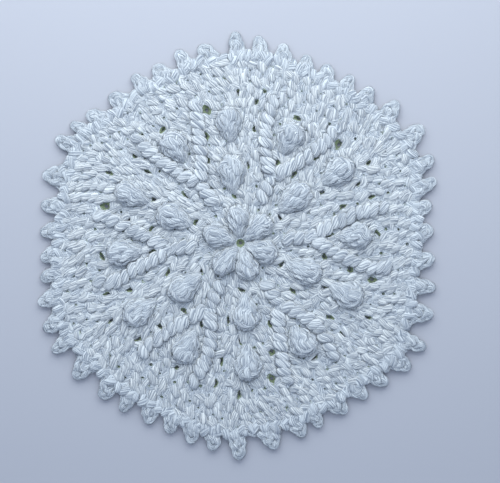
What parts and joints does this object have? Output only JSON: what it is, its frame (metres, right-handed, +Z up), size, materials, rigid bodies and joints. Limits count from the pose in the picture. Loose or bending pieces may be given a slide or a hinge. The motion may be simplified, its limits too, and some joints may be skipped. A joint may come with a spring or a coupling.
{
  "type": "dishcloth",
  "caption": "Crocheted cotton dishcloth, a six-sided round lying flat, with raised popcorn stitches, forked raised ribs, small through gaps and a pointed picot edge.",
  "frame": {"origin": "on the surface that the cloth lies on, in the middle of the cloth's length and of its width", "axes": "+Z up out of the right side, +Y towards one corner of the hexagon, which is the picture's upper edge"},
  "size_m": [0.2038, 0.2202, 0.0098],
  "materials": {
    "cotton": "matt crocheted cotton yarn, white"
  },
  "bodies": {
    "root": {"dishcloth": "cotton"}
  },
  "joints": []
}
